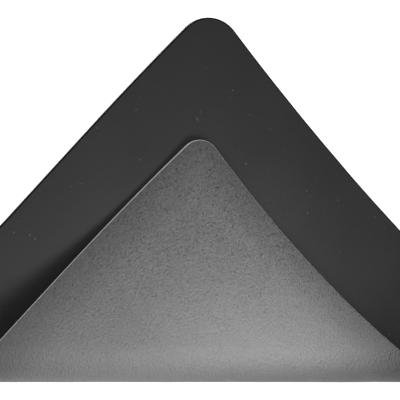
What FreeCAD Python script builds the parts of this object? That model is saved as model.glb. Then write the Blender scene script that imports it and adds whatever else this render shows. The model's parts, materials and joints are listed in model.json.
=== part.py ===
import FreeCAD, Part
import math
import os

# A soft cutting mat, folded once from corner to corner so that one corner lies back over
# the rest of the sheet. The sheet is three bonded plies: a dark work face, a core and a
# grey grained back. The dark face is uppermost on the base and inside the fold; the grey
# back rests on the table and shows on top of the flap.
#
# Every bend in the sheet runs along X, so the sheet is described in two flat coordinates:
# x across it, and q, the distance along it from its lower free corner towards the flap's
# corner. The fold is divided into strips, which are hinged to each other one after
# another, so that the fold opens as a sheet does.
#
# Frame, in mm: +X along the fold, +Y from the fold towards the free corners, +Z up, and the
# origin at the bottom centre of the folded mat.

# The flat sheet
LEFT_SIDE = 320.0  # from the lower free corner to the left-hand corner
RIGHT_SIDE = 295.0  # from the lower free corner to the right-hand corner
SKEW = math.radians(-1.7)  # how far the fold misses being square to the diagonal
BASE_CORNER_RADIUS = 26.0
FLAP_CORNER_RADIUS = 15.5
SIDE_CORNER_RADIUS = 20.0

# The plies, each from its lower to its upper height over the middle of the sheet
THICKNESS = 2.4
PLY_HEIGHTS = {
    "grey_face_ply": (-THICKNESS / 2, -THICKNESS / 6),
    "core_ply": (-THICKNESS / 6, THICKNESS / 6),
    "dark_face_ply": (THICKNESS / 6, THICKNESS / 2),
}

# The way the sheet lies: a lifted corner, a flat base, the fold, and a sagging flap
CORNER_LENGTH = 93.0
CORNER_TURN = math.radians(12.9)
FOLD_START = 235.0
FOLD_RADIUS = 15.0
FOLD_TURN = math.radians(206.6)
FLAP_TURN = math.radians(-35.0)

# The strips of the fold and their hinges
STRIP_COUNT = 8
STRIP_OPENING = math.radians(24.0)  # between two strips, from folded to laid open
GAP = 0.3  # between neighbouring strips, over their whole travel
MARGIN = 3.0  # how far a trimming outline runs past the ends of its piece

FOLD_LENGTH = FOLD_RADIUS * FOLD_TURN
FOLD_END = FOLD_START + FOLD_LENGTH
DIAGONAL = (LEFT_SIDE + RIGHT_SIDE) / math.sqrt(2)
STRETCHES = (
    (CORNER_LENGTH, CORNER_TURN),
    (FOLD_START - CORNER_LENGTH, 0.0),
    (FOLD_LENGTH, FOLD_TURN),
    (DIAGONAL - FOLD_END, FLAP_TURN),
)


# ---- the sheet as it lies -------------------------------------------------------------


def station(q):
    """The middle of the sheet at distance q, with its heading in radians and curvature."""
    point = FreeCAD.Vector(0, 0, 0)
    heading = -CORNER_TURN
    for length, turn in STRETCHES:
        curvature = turn / length
        is_last = (length, turn) == STRETCHES[-1]
        step = q if is_last else min(q, length)
        swing = step * curvature
        chord = step if swing == 0 else 2 * math.sin(swing / 2) / curvature
        middle = heading + swing / 2
        point = point + FreeCAD.Vector(0, -math.cos(middle) * chord, math.sin(middle) * chord)
        heading = heading + swing
        q = q - step
        if q <= 0:
            break
    return point, heading, curvature


def tangent(heading):
    """The direction in which q grows."""
    return FreeCAD.Vector(0, -math.cos(heading), math.sin(heading))


def normal(heading):
    """The direction that the dark face looks in."""
    return FreeCAD.Vector(0, math.sin(heading), math.cos(heading))


def point_over(q, height):
    """A point at the given height over the middle of the sheet, at distance q."""
    point, heading, _ = station(q)
    return point + normal(heading) * height


# ---- the flat outline -----------------------------------------------------------------


def sheet_corners():
    """The four sharp corners of the flat sheet as (x, q): base, left, flap and right."""
    left = (-LEFT_SIDE / math.sqrt(2), LEFT_SIDE / math.sqrt(2))
    right = (RIGHT_SIDE / math.sqrt(2), RIGHT_SIDE / math.sqrt(2))
    flap = (left[0] + right[0], left[1] + right[1])
    return [skewed(corner) for corner in ((0.0, 0.0), left, flap, right)]


def skewed(corner):
    """Turn a corner of the sheet about the middle of the diagonal by the skew."""
    x = corner[0]
    q = corner[1] - DIAGONAL / 2
    cosine = math.cos(SKEW)
    sine = math.sin(SKEW)
    return (x * cosine - q * sine, x * sine + q * cosine + DIAGONAL / 2)


def crossing(start, end, q):
    """The point at distance q on the straight line through two points of the sheet."""
    share = (q - start[1]) / (end[1] - start[1])
    return (start[0] + share * (end[0] - start[0]), q)


def straight(start, end):
    """A straight run of the outline, as its start, its middle and its end."""
    return (start, ((start[0] + end[0]) / 2, (start[1] + end[1]) / 2), end)


def rounded_outline(points, radii):
    """A closed outline through flat points, each corner rounded to its radius."""
    count = len(points)
    runs = []
    for i in range(count):
        runs.append(corner_points(points[i - 1], points[i], points[(i + 1) % count], radii[i]))
    outline = []
    for i in range(count):
        if radii[i] > 0:
            outline.append(runs[i])
        outline.append(straight(runs[i][2], runs[(i + 1) % count][0]))
    return outline


def side_run(corner, near, far):
    """The sheet's edge past its left-hand or right-hand corner, between two distances."""
    return tuple(side_point(corner, q) for q in (near, (near + far) / 2, far))


def side_point(corner, q):
    """The point of the sheet's edge at distance q, on the side of a rounded corner."""
    base, _, flap, _ = sheet_corners()
    start, middle, end = corner_points(base, corner, flap, SIDE_CORNER_RADIUS)
    if q <= start[1]:
        return crossing(base, corner, q)
    if q >= end[1]:
        return crossing(corner, flap, q)
    inward = unit_vector(corner, middle)
    centre_x = middle[0] + inward[0] * SIDE_CORNER_RADIUS
    centre_q = middle[1] + inward[1] * SIDE_CORNER_RADIUS
    reach = math.sqrt(SIDE_CORNER_RADIUS**2 - (q - centre_q) ** 2)
    return (centre_x + math.copysign(reach, corner[0]), q)


def corner_points(before, corner, after, radius):
    """Where a rounded corner starts, its middle, and where it ends."""
    towards = unit_vector(corner, before)
    away = unit_vector(corner, after)
    half_angle = math.acos(towards[0] * away[0] + towards[1] * away[1]) / 2
    reach = radius / math.tan(half_angle)
    depth = radius / math.sin(half_angle) - radius
    inward = unit_vector((0, 0), (towards[0] + away[0], towards[1] + away[1]))
    return (
        (corner[0] + towards[0] * reach, corner[1] + towards[1] * reach),
        (corner[0] + inward[0] * depth, corner[1] + inward[1] * depth),
        (corner[0] + away[0] * reach, corner[1] + away[1] * reach),
    )


def unit_vector(start, end):
    """The direction from one flat point to another."""
    across = end[0] - start[0]
    along = end[1] - start[1]
    length = math.hypot(across, along)
    return (across / length, along / length)


def bowed_edge(start, middle, end):
    """An arc through three points, or a straight edge where they are in line."""
    straight = (end - start).cross(middle - start).Length < 1e-6 * (end - start).Length
    if straight:
        return Part.LineSegment(start, end).toShape()
    return Part.Arc(start, middle, end).toShape()


# ---- one piece of one ply -------------------------------------------------------------


def end_clearance(height):
    """How far a hinged edge stands back, more on the outside of the fold, which closes up."""
    return GAP / 2 + max(0.0, -height) * math.tan(STRIP_OPENING / 2)


def edge_point(q, height, side, curvature):
    """A point of a piece's end at distance q; side is 1 or -1 if it is hinged, else 0."""
    set_back = side * end_clearance(height) / (1 - height * curvature)
    return point_over(q + set_back, height)


def section(start, end, heights, hinged):
    """The cross-section of one ply from start to end, as a face in the YZ plane."""
    curvature = station((start + end) / 2)[2]
    low, high = heights
    corners = {}
    for height in heights:
        first = edge_point(start, height, 1 if hinged[0] else 0, curvature)
        last = edge_point(end, height, -1 if hinged[1] else 0, curvature)
        corners[height] = (first, point_over((start + end) / 2, height), last)
    edges = [
        bowed_edge(*corners[low]),
        Part.LineSegment(corners[low][2], corners[high][2]).toShape(),
        bowed_edge(*reversed(corners[high])),
        Part.LineSegment(corners[high][0], corners[low][0]).toShape(),
    ]
    return Part.Face(Part.Wire(edges))


def piece(start, end, heights, hinged, outline):
    """One ply between two distances: its bent section, trimmed to the sheet's outline."""
    middle, heading, _ = station((start + end) / 2)
    along = tangent(heading)

    def place(flat_point):
        x, q = flat_point
        nearest = min(max(q, start), end)
        point, nearest_heading, _ = station(nearest)
        point = point + tangent(nearest_heading) * (q - nearest)
        return middle + FreeCAD.Vector(x, 0, 0) + along * (point - middle).dot(along)

    width = LEFT_SIDE + RIGHT_SIDE
    ply = section(start, end, heights, hinged).extrude(FreeCAD.Vector(width, 0, 0))
    ply.translate(FreeCAD.Vector(-width / 2, 0, 0))
    depth = end - start
    edges = [bowed_edge(*[place(point) for point in run]) for run in outline]
    trim = Part.Face(Part.Wire(edges))
    trim.translate(normal(heading) * -depth)
    return ply.common(trim.extrude(normal(heading) * 2 * depth)).Solids[0]


# ---- the pieces of the folded sheet ---------------------------------------------------


def corner_piece(heights):
    """The lower free corner, which lifts a little off the table."""
    base, left, _, right = sheet_corners()
    reach = CORNER_LENGTH + MARGIN
    points = [base, crossing(base, left, reach), crossing(base, right, reach)]
    outline = rounded_outline(points, [BASE_CORNER_RADIUS, 0, 0])
    return piece(0.0, CORNER_LENGTH, heights, (False, False), outline)


def base_piece(heights):
    """The flat part of the sheet, with its left-hand and right-hand corners."""
    radii = [BASE_CORNER_RADIUS, SIDE_CORNER_RADIUS, FLAP_CORNER_RADIUS, SIDE_CORNER_RADIUS]
    outline = rounded_outline(sheet_corners(), radii)
    return piece(CORNER_LENGTH, FOLD_START, heights, (False, True), outline)


def strip_piece(number, heights):
    """One strip of the fold, counted from 1 at the base."""
    _, left, _, right = sheet_corners()
    width = FOLD_LENGTH / STRIP_COUNT
    start = FOLD_START + (number - 1) * width
    left_run = side_run(left, start - MARGIN, start + width + MARGIN)
    right_run = side_run(right, start + width + MARGIN, start - MARGIN)
    outline = [
        left_run,
        straight(left_run[2], right_run[0]),
        right_run,
        straight(right_run[2], left_run[0]),
    ]
    return piece(start, start + width, heights, (True, True), outline)


def flap_piece(heights):
    """The corner that is folded back over the base."""
    _, left, flap, right = sheet_corners()
    near = FOLD_END - MARGIN
    points = [crossing(left, flap, near), flap, crossing(right, flap, near)]
    outline = rounded_outline(points, [0, FLAP_CORNER_RADIUS, 0])
    return piece(FOLD_END, DIAGONAL, heights, (True, False), outline)


def build():
    """Every ply of every piece, by node name."""
    nodes = {}
    for ply, heights in PLY_HEIGHTS.items():
        nodes["corner_" + ply] = corner_piece(heights)
        nodes["base_" + ply] = base_piece(heights)
        for number in range(1, STRIP_COUNT + 1):
            nodes["bend_%d_%s" % (number, ply)] = strip_piece(number, heights)
        nodes["flap_" + ply] = flap_piece(heights)
    return nodes


def hinges():
    """The hinge points, in the middle of the sheet at the edges of the strips."""
    width = FOLD_LENGTH / STRIP_COUNT
    return [station(FOLD_START + i * width)[0] for i in range(STRIP_COUNT + 1)]


def main():
    nodes = build()
    box = Part.makeCompound(list(nodes.values())).optimalBoundingBox(False, False)
    origin = FreeCAD.Vector(box.Center.x, box.Center.y, box.ZMin)
    os.makedirs("parts", exist_ok=True)
    for name, shape in nodes.items():
        shape.translate(origin * -1)
        shape.exportStep("parts/%s.step" % name)
        print("%-28s volume %8.1f mm3, valid %s" % (name, shape.Volume, shape.isValid()))
    print("size %.2f x %.2f x %.2f mm" % (box.XLength, box.YLength, box.ZLength))
    for number, point in enumerate(hinges(), 1):
        print("hinge %d: y %.3f, z %.3f mm" % (number, point.y - origin.y, point.z - origin.z))


main()
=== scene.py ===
import json
import math

import bmesh
import bpy
import numpy as np
from mathutils import Matrix, Vector, geometry


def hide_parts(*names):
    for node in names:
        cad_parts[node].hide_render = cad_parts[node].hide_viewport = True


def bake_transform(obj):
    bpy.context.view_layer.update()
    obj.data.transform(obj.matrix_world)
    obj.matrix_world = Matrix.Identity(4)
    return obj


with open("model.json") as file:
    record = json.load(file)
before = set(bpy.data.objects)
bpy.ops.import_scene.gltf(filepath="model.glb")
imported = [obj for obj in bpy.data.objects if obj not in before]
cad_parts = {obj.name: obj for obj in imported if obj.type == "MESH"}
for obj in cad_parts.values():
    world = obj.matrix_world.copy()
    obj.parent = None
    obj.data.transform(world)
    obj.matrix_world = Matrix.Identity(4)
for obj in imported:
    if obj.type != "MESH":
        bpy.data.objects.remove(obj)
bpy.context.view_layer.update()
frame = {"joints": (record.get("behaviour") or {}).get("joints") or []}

# A soft cutting mat, folded once from corner to corner. The sheet is described flat, by x
# across it and q along its diagonal, from the lower free corner (q = 0) to the corner of the
# flap, and laid in space along the same arcs as the CAD model. Lengths are in metres.

# ---- the sheet, with the CAD model's driving dimensions -------------------------------

LEFT_SIDE = 0.320
RIGHT_SIDE = 0.295
SKEW = math.radians(-1.7)
BASE_CORNER_RADIUS = 0.026
FLAP_CORNER_RADIUS = 0.0155
SIDE_CORNER_RADIUS = 0.020
THICKNESS = 0.0024
CORNER_LENGTH = 0.093
CORNER_TURN = math.radians(12.9)
FOLD_START = 0.235
FOLD_RADIUS = 0.015
FOLD_TURN = math.radians(206.6)
FLAP_TURN = math.radians(-35.0)
STRIP_COUNT = 8
WING_RISE = 0.0045  # how far the right wing of the base stands off the table
FOLD_PRESS = 0.0009  # how far the fold is pressed in
WAVE_HEIGHT = 0.00003

FOLD_LENGTH = FOLD_RADIUS * FOLD_TURN
FOLD_END = FOLD_START + FOLD_LENGTH
STRIP_WIDTH = FOLD_LENGTH / STRIP_COUNT
DIAGONAL = (LEFT_SIDE + RIGHT_SIDE) / math.sqrt(2)
STRETCHES = (
    (CORNER_LENGTH, CORNER_TURN),
    (FOLD_START - CORNER_LENGTH, 0.0),
    (FOLD_LENGTH, FOLD_TURN),
    (DIAGONAL - FOLD_END, FLAP_TURN),
)

# Mesh detail
FACE_STEP = 0.0016  # between the points of a visible face
FOLD_STEP = 0.0008  # between its rows in the fold
HIDDEN_STEP = 0.006  # between the points of a face hidden between plies
EDGE_STEP = 0.0016  # along the outline
EDGE_ROUNDING = 0.0005
PAINTED_SHADE_MARGIN = 0.0010  # the dark face carries a near-black painted shade this far in from its edge
CUT_CLEARANCE = 0.0003  # from a cut to the nearest points inside a face
SIDE_CLEARANCE = 0.0015  # from the outline to the nearest points inside a face
CORE_RECESS = 0.00008
UV_SHIFT = 0.25  # keeps the sheet's texture coordinates positive
SHARP_ANGLE = math.radians(50)  # edges sharper than this shade as edges


def stations(q):
    """The middle of the sheet at each distance q: y, z and heading, before placing."""
    y = np.zeros_like(q)
    z = np.zeros_like(q)
    heading = np.full_like(q, -CORNER_TURN)
    start = 0.0
    for i, (length, turn) in enumerate(STRETCHES):
        limit = 1.0 if i == len(STRETCHES) - 1 else length
        step = np.clip(q - start, 0, limit)
        swing = step * turn / length
        chord = step * np.sinc(swing / 2 / math.pi)
        middle = heading + swing / 2
        y = y - np.cos(middle) * chord
        z = z + np.sin(middle) * chord
        heading = heading + swing
        start += length
    return y, z, heading


def sheet_corners():
    """The sharp corners of the flat sheet as (x, q): base, right, flap and left."""
    right = (RIGHT_SIDE / math.sqrt(2), RIGHT_SIDE / math.sqrt(2))
    left = (-LEFT_SIDE / math.sqrt(2), LEFT_SIDE / math.sqrt(2))
    flap = (left[0] + right[0], left[1] + right[1])
    turned = []
    for x, q in ((0.0, 0.0), right, flap, left):
        q = q - DIAGONAL / 2
        cosine = math.cos(SKEW)
        sine = math.sin(SKEW)
        turned.append(np.array((x * cosine - q * sine, x * sine + q * cosine + DIAGONAL / 2)))
    return turned


def outline():
    """The rounded outline, anticlockwise, as rows of x, q and the outward direction."""
    corners = sheet_corners()
    radii = (BASE_CORNER_RADIUS, SIDE_CORNER_RADIUS, FLAP_CORNER_RADIUS, SIDE_CORNER_RADIUS)
    rows = []
    for i, (corner, radius) in enumerate(zip(corners, radii)):
        before = corners[i - 1]
        after = corners[(i + 1) % 4]
        towards = (before - corner) / np.linalg.norm(before - corner)
        away = (after - corner) / np.linalg.norm(after - corner)
        centre = corner + (towards + away) * radius
        count = int(radius * math.pi / 2 / EDGE_STEP) + 1
        for k in range(count + 1):
            angle = k / count * math.pi / 2
            outward = -away * math.cos(angle) - towards * math.sin(angle)
            rows.append(np.concatenate([centre + outward * radius, outward]))
        straight_from = corner + away * radius
        straight_to = after - away * radii[(i + 1) % 4]
        count = int(np.linalg.norm(straight_to - straight_from) / EDGE_STEP) + 1
        for k in range(1, count):
            point = straight_from + (straight_to - straight_from) * k / count
            rows.append(np.concatenate([point, -towards]))
    return np.array(rows)


OUTLINE = outline()
MIDDLE_X = (OUTLINE[:, 0].min() + OUTLINE[:, 0].max()) / 2
FIRST_HINGE = frame["joints"][0]["pos_m"]
HINGE_Y, HINGE_Z, _ = stations(np.array([FOLD_START]))


def surface(x, q, height):
    """Points over the middle of the sheet, placed in the frame of the CAD model."""
    y, z, heading = stations(q)
    y = y - HINGE_Y[0] + FIRST_HINGE[1]
    z = z - HINGE_Z[0] + FIRST_HINGE[2]
    lift = height + undulation(x, q)
    return np.stack([x - MIDDLE_X, y + np.sin(heading) * lift, z + np.cos(heading) * lift], 1)


def undulation(x, q):
    """Slight waves, the rise of the right wing, and the fold pressed in at its outermost line."""
    waves = np.sin(x * 96 + q * 31 + 0.7) + np.sin(q * 74 - x * 57 + 2.1)
    waves = waves + 0.6 * np.sin(x * 183 + q * 140 + 1.3) + 0.5 * np.sin(q * 231 - x * 119)
    rise = smooth_step(x, 0.105, 0.175) * (1 - smooth_step(q, 0.165, FOLD_START))
    middle = FOLD_START + FOLD_LENGTH * 0.44
    press = smooth_step(q, FOLD_START, middle) * (1 - smooth_step(q, middle, FOLD_END))
    return waves * WAVE_HEIGHT + rise * WING_RISE + press * FOLD_PRESS


def smooth_step(value, start, end):
    """0 before start, 1 after end, and a smooth change between them."""
    share = np.clip((value - start) / (end - start), 0, 1)
    return share * share * (3 - 2 * share)


# ---- one stretch of the sheet, flat ---------------------------------------------------


def clipped(rows, limit, side):
    """The part of the outline on one side of a distance q; side is 1 above it, -1 below."""
    kept = []
    count = len(rows)
    for i in range(count):
        here = rows[i]
        after = rows[(i + 1) % count]
        here_in = (here[1] - limit) * side >= 0
        after_in = (after[1] - limit) * side >= 0
        if here_in:
            kept.append(here)
        if here_in != after_in:
            share = (limit - here[1]) / (after[1] - here[1])
            cut = here + (after - here) * share
            cut[1] = limit
            cut[2:4] = (1 / cut[2], 0.0)
            kept.append(cut)
    return np.array(kept)


def stretch_outline(start, end):
    """The closed outline between two distances, with points along its straight cuts."""
    rows = OUTLINE
    if start is not None:
        rows = clipped(rows, start, 1)
    if end is not None:
        rows = clipped(rows, end, -1)
    points = []
    for i in range(len(rows)):
        here = rows[i]
        after = rows[(i + 1) % len(rows)]
        points.append(here)
        on_cut = here[1] == after[1] and here[1] in (start, end)
        if on_cut:
            count = max(2, round(abs(after[0] - here[0]) / EDGE_STEP))
            for k in range(1, count):
                x = here[0] + (after[0] - here[0]) * k / count
                points.append(np.array((x, here[1], 0.0, 0.0)))
    return np.array(points)


def rows_between(low, high, step):
    """Distances q for the rows of a face, closer together in the fold."""
    marks = [low, min(max(FOLD_START, low), high), min(max(FOLD_END, low), high), high]
    spacings = (step, min(step, FOLD_STEP), step)
    rows = []
    for first, last, spacing in zip(marks, marks[1:], spacings):
        count = max(1, round((last - first) / spacing))
        rows.extend(first + (last - first) * k / count for k in range(count))
    return np.array(rows[1:])


def triangulated(border, step):
    """Flat points and triangles that fill a convex border; the border's points come first."""
    low, high = border.min(0), border.max(0)
    rows = rows_between(low[1], high[1], step)
    across = np.arange(low[0], high[0], step)
    grid_x, grid_q = np.meshgrid(across, rows)
    grid_x[::2] += step / 2
    grid = np.stack([grid_x.ravel(), grid_q.ravel()], 1)
    after = np.roll(border, -1, 0)
    edge = after[:, :2] - border[:, :2]
    edge = edge / np.linalg.norm(edge, axis=1)[:, None]
    on_cut = border[:, 1] == after[:, 1]
    clearances = np.where(on_cut, CUT_CLEARANCE, SIDE_CLEARANCE)
    inside = np.ones(len(grid), bool)
    for start, along, clearance in zip(border[:, :2], edge, clearances):
        offset = grid - start
        inside &= along[0] * offset[:, 1] - along[1] * offset[:, 0] > clearance
    points = np.concatenate([border[:, :2], grid[inside]])
    count = len(border)
    ring = [(i, (i + 1) % count) for i in range(count)]
    made = geometry.delaunay_2d_cdt([Vector(p) for p in points], ring, [], 1, 1e-7)
    back = {i: sources[0] for i, sources in enumerate(made[3]) if sources}
    triangles = [[back[i] for i in face] for face in made[2]]
    return points, triangles


# ---- one ply of one stretch -----------------------------------------------------------


def edge_profile(ply):
    """The rim of a ply from its upper to its lower face, as pairs of inset and height."""
    third = THICKNESS / 6
    half = THICKNESS / 2
    if ply == "core_ply":
        return [(CORE_RECESS, third), (CORE_RECESS, -third)]
    rim = []
    for degrees in (0, 22.5, 45, 67.5, 90):
        angle = math.radians(degrees)
        inset = EDGE_ROUNDING * (1 - math.sin(angle))
        rim.append((inset, half - EDGE_ROUNDING * (1 - math.cos(angle))))
    rim.append((0.0, third))
    if ply == "dark_face_ply":
        # The dark face's outer band and rim take the near-black edge colour: a painted shade
        # along the sheet's edge.
        return [(PAINTED_SHADE_MARGIN, half)] + rim
    return [(inset, -height) for inset, height in reversed(rim)]


def ply_mesh(name, ply, border, fine, coarse):
    """A closed mesh of one ply: an upper face, a rim of rings, and a lower face."""
    rim = edge_profile(ply)
    upper = fine if ply == "dark_face_ply" else coarse
    lower = fine if ply == "grey_face_ply" else coarse
    count = len(border)
    flat = []
    heights = []
    for inset, height in rim:
        flat.append(border[:, :2] - border[:, 2:4] * inset)
        heights.append(np.full(count, height))
    for (points, _), height in ((upper, rim[0][1]), (lower, rim[-1][1])):
        flat.append(points[count:])
        heights.append(np.full(len(points) - count, height))
    flat = np.concatenate(flat)
    heights = np.concatenate(heights)
    places = surface(flat[:, 0], flat[:, 1], heights)

    upper_shift = len(rim) * count - count
    lower_shift = upper_shift + len(upper[0]) - count
    last_ring = (len(rim) - 1) * count
    faces = []
    for triangle in upper[1]:
        faces.append([i if i < count else i + upper_shift for i in reversed(triangle)])
    for triangle in lower[1]:
        faces.append([i + last_ring if i < count else i + lower_shift for i in triangle])
    face_count = len(faces)
    for ring in range(len(rim) - 1):
        for i in range(count):
            j = (i + 1) % count
            top = ring * count
            faces.append([top + i, top + j, top + count + j, top + count + i])

    mesh = bpy.data.meshes.new(name)
    mesh.from_pydata(places.tolist(), [], faces)
    # The grey ply's cut and most of its rounding are far lighter than its face: partly the cut's
    # own colour, partly a painted highlight along the rim.
    rim_slots = np.ones(len(rim) - 1, np.int32)
    if ply == "grey_face_ply":
        rim_slots[-1] = 0  # where the rounding runs out, it looks like the face
    slots = np.zeros(len(faces), np.int32)
    slots[face_count:] = np.repeat(rim_slots, count)
    mesh.polygons.foreach_set("material_index", slots)
    mesh.polygons.foreach_set("use_smooth", np.ones(len(faces), bool))
    add_sheet_coordinates(mesh, flat)
    add_edge_distance(mesh, flat)
    mark_sharp_edges(mesh)
    set_cut_normals(mesh, flat, heights, border, rim, ply)
    return mesh


def add_sheet_coordinates(mesh, flat):
    """The flat coordinates as a UV map, so that textures run on from piece to piece."""
    layer = mesh.uv_layers.new(name="flat_sheet")
    corners = np.zeros(len(mesh.loops), np.int32)
    mesh.loops.foreach_get("vertex_index", corners)
    layer.data.foreach_set("uv", (flat[corners] + (UV_SHIFT, 0.0)).astype(np.float32).ravel())


def add_edge_distance(mesh, flat):
    """Each point's distance from the nearest straight side of the sheet."""
    corners = sheet_corners()
    distance = np.full(len(flat), 1.0)
    for corner, after in zip(corners, corners[1:] + corners[:1]):
        along = (after - corner) / np.linalg.norm(after - corner)
        offset = flat - corner
        distance = np.minimum(distance, along[0] * offset[:, 1] - along[1] * offset[:, 0])
    mesh.attributes.new("edge_distance", "FLOAT", "POINT").data.foreach_set("value", distance)


def mark_sharp_edges(mesh):
    """Keeps the cuts between pieces and the lower rims from shading as if rounded."""
    model = bmesh.new()
    model.from_mesh(mesh)
    for edge in model.edges:
        if edge.calc_face_angle(0.0) > SHARP_ANGLE:
            edge.smooth = False
    model.to_mesh(mesh)
    model.free()


def set_cut_normals(mesh, flat, heights, border, rim, ply):
    """Along a cut, the outer face takes the whole sheet's normal, so that no seam shows."""
    if ply == "core_ply":
        return
    ring = 0 if ply == "dark_face_ply" else len(rim) - 1
    direction = 1 if ply == "dark_face_ply" else -1
    on_cut = np.nonzero(border[:, 3] == 0)[0] + ring * len(border)
    x = flat[on_cut, 0]
    q = flat[on_cut, 1]
    height = heights[on_cut]
    small = 0.0002
    along_x = surface(x + small, q, height) - surface(x - small, q, height)
    along_q = surface(x, q + small, height) - surface(x, q - small, height)
    across = np.cross(along_x, along_q)
    across = across / np.linalg.norm(across, axis=1)[:, None]
    facing = np.sign((across * up_direction(q)).sum(1))
    normals = np.zeros((len(flat), 3))
    normals[on_cut] = across * facing[:, None] * direction
    mesh.normals_split_custom_set_from_vertices(normals.tolist())


def up_direction(q):
    """The direction that the dark face looks in, at each distance q."""
    heading = stations(q)[2]
    return np.stack([np.zeros_like(q), np.sin(heading), np.cos(heading)], 1)


# ---- materials ------------------------------------------------------------------------


class Nodes:
    """Adds nodes to one material, with the sheet's flat coordinates as their input."""

    def __init__(self, name):
        self.material = bpy.data.materials.new(name)
        self.material.use_nodes = True
        self.tree = self.material.node_tree
        self.shader = self.tree.nodes["Principled BSDF"]
        self.sheet = self.tree.nodes.new("ShaderNodeUVMap")
        self.sheet.uv_map = "flat_sheet"

    def add(self, kind, settings=None, **values):
        node = self.tree.nodes.new(kind)
        for key, value in (settings or {}).items():
            setattr(node, key, value)
        for key, value in values.items():
            self.set(node.inputs[key.replace("_", " ")], value)
        return node

    def set(self, socket, value):
        if isinstance(value, bpy.types.NodeSocket):
            self.tree.links.new(value, socket)
        else:
            socket.default_value = value

    def place(self, stretch):
        """The flat coordinates, with features drawn out along the diagonal by a factor."""
        node = self.add("ShaderNodeVectorMath", {"operation": "MULTIPLY"})
        self.set(node.inputs[0], self.sheet.outputs["UV"])
        self.set(node.inputs[1], (1.0, 1.0 / stretch, 1.0))
        return node.outputs["Vector"]

    def noise(self, scale, detail=2.0, roughness=0.5, stretch=1.0):
        """Noise on the flat sheet; scale is in waves to the metre."""
        node = self.add("ShaderNodeTexNoise", Scale=scale, Detail=detail, Roughness=roughness)
        self.set(node.inputs["Vector"], self.place(stretch))
        return node.outputs["Fac"]

    def cells(self, scale, stretch=1.0):
        """Distance to the nearest cell centre on the flat sheet."""
        node = self.add("ShaderNodeTexVoronoi", Scale=scale)
        self.set(node.inputs["Vector"], self.place(stretch))
        return node.outputs["Distance"]

    def along_sheet(self):
        """The distance q along the sheet's diagonal, in metres."""
        node = self.add("ShaderNodeSeparateXYZ")
        self.set(node.inputs[0], self.sheet.outputs["UV"])
        return node.outputs["Y"]

    def edge_distance(self):
        """Distance from the nearest side of the sheet, in metres."""
        node = self.add("ShaderNodeAttribute", {"attribute_name": "edge_distance"})
        return node.outputs["Fac"]

    def between(self, value, low, high, out_low=0.0, out_high=1.0):
        """value, taken from one range to another and held inside it."""
        node = self.add("ShaderNodeMapRange")
        sockets = ("Value", "From Min", "From Max", "To Min", "To Max")
        for key, setting in zip(sockets, (value, low, high, out_low, out_high)):
            self.set(node.inputs[key], setting)
        return node.outputs["Result"]

    def product(self, first, second):
        node = self.add("ShaderNodeMath", {"operation": "MULTIPLY"})
        self.set(node.inputs[0], first)
        self.set(node.inputs[1], second)
        return node.outputs[0]

    def shade(self, factor, dark, light):
        """A colour between two others; each is a socket, or red, green and blue."""
        node = self.add("ShaderNodeMix", {"data_type": "RGBA"})
        self.set(node.inputs[0], factor)
        for key, colour in ((6, dark), (7, light)):
            socket = isinstance(colour, bpy.types.NodeSocket)
            self.set(node.inputs[key], colour if socket else (*colour, 1.0))
        return node.outputs[2]

    def bump(self, height, strength, distance, below=None):
        node = self.add("ShaderNodeBump", Strength=strength, Distance=distance, Height=height)
        if below is not None:
            self.set(node.inputs["Normal"], below)
        return node.outputs["Normal"]


def dark_face():
    """Near-black, matte, calendered face with a very fine texture and a few pale specks."""
    m = Nodes("dark_face")
    cloud = m.noise(14, 3)
    tone = m.shade(m.between(cloud, 0.3, 0.7), (0.030, 0.030, 0.0305), (0.036, 0.036, 0.0365))
    specks = m.between(m.cells(230), 0.16, 0.08)
    rare = m.between(m.noise(60, 2), 0.58, 0.64)
    specks = m.product(specks, rare)
    m.set(m.shader.inputs["Base Color"], m.shade(specks, tone, (0.13, 0.13, 0.128)))
    m.shader.inputs["Roughness"].default_value = 0.55
    m.shader.inputs["Specular IOR Level"].default_value = 0.4
    fine = m.bump(m.noise(1100, 2), 0.6, 0.0006)
    m.set(m.shader.inputs["Normal"], m.bump(m.noise(420, 3), 0.35, 0.0008, fine))
    return m.material


def grey_face():
    """Mid-grey back: a leather grain, smoother over the fold, and painted shade darkening its
    sides.
    """
    m = Nodes("grey_face")
    cloud = m.noise(18, 3)
    tone = m.shade(m.between(cloud, 0.3, 0.7), (0.172, 0.172, 0.171), (0.190, 0.190, 0.189))
    relief = m.between(m.along_sheet(), 0.27, 0.36, 0.5, 1.0)
    grain = m.noise(900, 2, 0.6, stretch=1.5)
    crests = m.product(m.between(grain, 0.35, 0.65, 0.0, 0.7), relief)
    tone = m.shade(crests, tone, (0.255, 0.255, 0.253))
    # Painted shade: the grey face darkens towards a deep grey within 28 mm of the sheet's
    # straight sides.
    painted_side_shade = m.between(m.edge_distance(), 0.028, 0.0, 0.0, 0.6)
    tone = m.shade(painted_side_shade, tone, (0.09, 0.09, 0.089))
    m.set(m.shader.inputs["Base Color"], tone)
    m.shader.inputs["Roughness"].default_value = 0.6
    m.shader.inputs["Specular IOR Level"].default_value = 0.25
    pebbles = m.bump(m.cells(850, stretch=1.4), relief, 0.0010)
    m.set(m.shader.inputs["Normal"], m.bump(grain, relief, 0.0021, pebbles))
    return m.material


def cut_edge(name, dark, light, shine):
    """The cut through a ply: slightly rough, with the marks of the blade along it. On the dark
    ply it also carries painted shade along the rim, on the grey ply a painted highlight.
    """
    m = Nodes(name)
    m.set(m.shader.inputs["Base Color"], m.shade(m.noise(900, 3), (dark,) * 3, (light,) * 3))
    m.shader.inputs["Roughness"].default_value = 0.4
    m.shader.inputs["Specular IOR Level"].default_value = shine
    m.set(m.shader.inputs["Normal"], m.bump(m.noise(1500, 2), 0.3, 0.0002))
    return m.material


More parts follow.
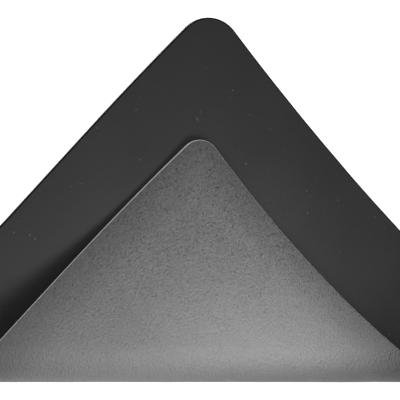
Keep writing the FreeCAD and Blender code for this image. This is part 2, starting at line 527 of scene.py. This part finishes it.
def floor_material():
    """A plain floor, lit up white like a light table."""
    material = bpy.data.materials.new("floor")
    material.use_nodes = True
    shader = material.node_tree.nodes["Principled BSDF"]
    shader.inputs["Base Color"].default_value = (0.5, 0.5, 0.5, 1.0)
    shader.inputs["Roughness"].default_value = 0.9
    shader.inputs["Specular IOR Level"].default_value = 0.0
    shader.inputs["Emission Color"].default_value = (1.0, 1.0, 1.0, 1.0)
    shader.inputs["Emission Strength"].default_value = 1.0
    return material


# ---- the pieces -----------------------------------------------------------------------

PLY_SLOTS = {"dark_face_ply": "dark_face", "core_ply": "core", "grey_face_ply": "grey_face"}


def build_sheet(looks):
    """One piece for each ply and hinge, cut where the strips between the hinges are rigid."""
    pieces_of = {ply: [] for ply in PLY_SLOTS}
    for i in range(STRIP_COUNT + 1):
        hinge = FOLD_START + i * STRIP_WIDTH
        first, last = i == 0, i == STRIP_COUNT
        start = None if first else hinge - STRIP_WIDTH / 2
        end = None if last else hinge + STRIP_WIDTH / 2
        border = stretch_outline(start, end)
        fine = triangulated(border, FACE_STEP)
        coarse = triangulated(border, HIDDEN_STEP)
        label = "base" if first else "flap" if last else "fold_%d" % i
        nodes = ["corner", "base"] if first else ["bend_%d" % i]
        if last:
            nodes.append("flap")
        for ply, slot in PLY_SLOTS.items():
            name = "%s_%s" % (label, ply)
            piece = bpy.data.objects.new(name, ply_mesh(name, ply, border, fine, coarse))
            bpy.context.scene.collection.objects.link(piece)
            for look in looks[ply]:
                piece.data.materials.append(look)
            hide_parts(*["%s_%s" % (node, ply) for node in nodes])
            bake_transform(piece)
            pieces_of[ply].append(piece)


# ---- the stage ------------------------------------------------------------------------

CAMERA_AZIMUTH = math.radians(-78.62)
CAMERA_ELEVATION = math.radians(59.77)
CAMERA_ROLL = math.radians(80.02)
CAMERA_DISTANCE = 1.235
CAMERA_LENS = 169.8
CAMERA_AIM = (-0.00965, -0.1307)  # from the base's sharp corner, along X and Y
FLOOR_REACH = 6.0
FLOOR_DROP = 0.0002  # keeps the floor clear of the mat's underside


def build_camera():
    azimuth, elevation, roll = CAMERA_AZIMUTH, CAMERA_ELEVATION, CAMERA_ROLL
    back = Vector((
        math.sin(azimuth) * math.cos(elevation),
        -math.cos(azimuth) * math.cos(elevation),
        math.sin(elevation),
    ))
    level = Vector((math.cos(azimuth), math.sin(azimuth), 0.0))
    upright = back.cross(level)
    right = level * math.cos(roll) + upright * math.sin(roll)
    up = upright * math.cos(roll) - level * math.sin(roll)
    corner_y = FIRST_HINGE[1] - HINGE_Y[0]
    aim = Vector((CAMERA_AIM[0] - MIDDLE_X, CAMERA_AIM[1] + corner_y, THICKNESS / 2))
    camera = bpy.data.objects.new("camera", bpy.data.cameras.new("camera"))
    bpy.context.scene.collection.objects.link(camera)
    camera.data.lens = CAMERA_LENS
    camera.data.sensor_width = 36.0
    camera.matrix_world = Matrix.Translation(aim + back * CAMERA_DISTANCE) @ Matrix(
        (right, up, back)).transposed().to_4x4()
    bpy.context.scene.camera = camera


def build_floor():
    mesh = bpy.data.meshes.new("floor")
    far = FLOOR_REACH
    corners = [(-far, -far, 0), (far, -far, 0), (far, far, 0), (-far, far, 0)]
    mesh.from_pydata(corners, [], [(0, 1, 2, 3)])
    mesh.materials.append(floor_material())
    floor = bpy.data.objects.new("floor", mesh)
    floor.location.z = -FLOOR_DROP
    bpy.context.scene.collection.objects.link(floor)


def build_lights():
    add_area_light("behind", (0.10, 0.42, 0.33), 0.15, 0.82)
    add_area_light("left", (-1.12, 0.30, 0.31), 0.3, 3.0)
    add_area_light("over_left", (-0.08, -0.16, 0.14), 0.14, 0.150, (-0.08, -0.16, 0.0))
    add_area_light("over_right", (0.04, -0.08, 0.14), 0.10, 0.185, (0.04, -0.08, 0.0))
    world = bpy.data.worlds.new("studio")
    world.use_nodes = True
    background = world.node_tree.nodes["Background"]
    background.inputs["Color"].default_value = (1.0, 1.0, 1.0, 1.0)
    background.inputs["Strength"].default_value = 0.15
    bpy.context.scene.world = world
    bpy.context.scene.view_settings.view_transform = "Standard"


def add_area_light(name, place, size, power, aim=(0.03, -0.06, 0.02)):
    """A square soft light that looks at a point, by default on the folded flap."""
    light = bpy.data.lights.new(name, "AREA")
    light.size = size
    light.energy = power
    lamp = bpy.data.objects.new(name, light)
    lamp.location = place
    lamp.rotation_mode = "QUATERNION"
    lamp.rotation_quaternion = (Vector(place) - Vector(aim)).to_track_quat("Z", "Y")
    bpy.context.scene.collection.objects.link(lamp)


def main():
    # Painted shade: the dark ply's outer band, rounding and cut are near black, partly the ply's
    # own black and partly painted shade.
    dark_edge_and_painted_rim_shade = cut_edge("dark_edge_and_painted_rim_shade", 0.004, 0.007, 0.1)
    core_edge = cut_edge("core_edge", 0.74, 0.82, 0.5)
    # Painted highlight: the grey ply's rim is far lighter than its grey face, partly the cut's
    # own colour.
    grey_edge_and_painted_highlight = cut_edge("grey_edge_and_painted_highlight", 0.62, 0.72, 0.5)
    looks = {
        "dark_face_ply": (dark_face(), dark_edge_and_painted_rim_shade),
        "core_ply": (core_edge, core_edge),
        "grey_face_ply": (grey_face(), grey_edge_and_painted_highlight),
    }
    build_camera()
    build_sheet(looks)
    build_floor()
    build_lights()


main()
